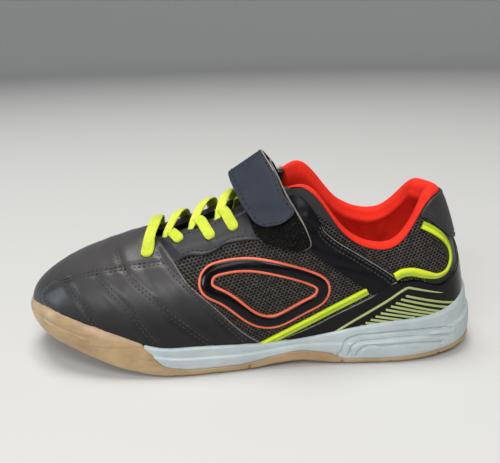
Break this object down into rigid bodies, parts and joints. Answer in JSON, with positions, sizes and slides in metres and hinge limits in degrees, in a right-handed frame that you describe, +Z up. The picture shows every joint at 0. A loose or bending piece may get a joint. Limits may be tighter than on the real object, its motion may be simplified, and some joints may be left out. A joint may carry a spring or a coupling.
{
  "type": "indoor court shoe",
  "caption": "Low-cut left indoor sports shoe: hollow leather upper, padded collar, tongue, elastic laces, instep strap, foam midsole and gum rubber sole with toe spring.",
  "frame": {"origin": "middle of the shoe's plan at the floor", "axes": "-X toward the toe, -Y toward the lateral side, +Z up"},
  "size_m": [0.23, 0.0836, 0.1006],
  "materials": {
    "upper_leather": "satin",
    "overlay_leather": "satin",
    "gloss_film": "gloss",
    "lime_trim": "satin",
    "lining": "matte",
    "tongue_fabric": "matte",
    "midsole_foam": "satin",
    "gum": "satin",
    "insole": "matte",
    "strap": "satin",
    "ring_plastic": "satin",
    "lace": "matte"
  },
  "bodies": {
    "root": {"collar_lining": "lining", "eyestay_lateral": "overlay_leather", "eyestay_medial": "overlay_leather", "heel_counter": "gloss_film", "heel_tab": "overlay_leather", "insole": "insole", "lace_bar_front": "lace", "lace_cross_1": "lace", "lace_cross_2": "lace", "lace_cross_3": "lace", "lace_end": "lace", "midsole": "midsole_foam", "outsole": "gum", "piping_collar_lateral": "lime_trim", "piping_collar_medial": "lime_trim", "piping_lower_lateral": "lime_trim", "piping_lower_medial": "lime_trim", "quarter_band_lateral": "overlay_leather", "quarter_band_medial": "overlay_leather", "ring_tab": "strap", "side_frame_lateral": "gloss_film", "side_frame_medial": "gloss_film", "strap": "strap", "strap_ring": "ring_plastic", "tongue": "tongue_fabric", "upper": "upper_leather", "vamp": "upper_leather"}
  },
  "joints": []
}
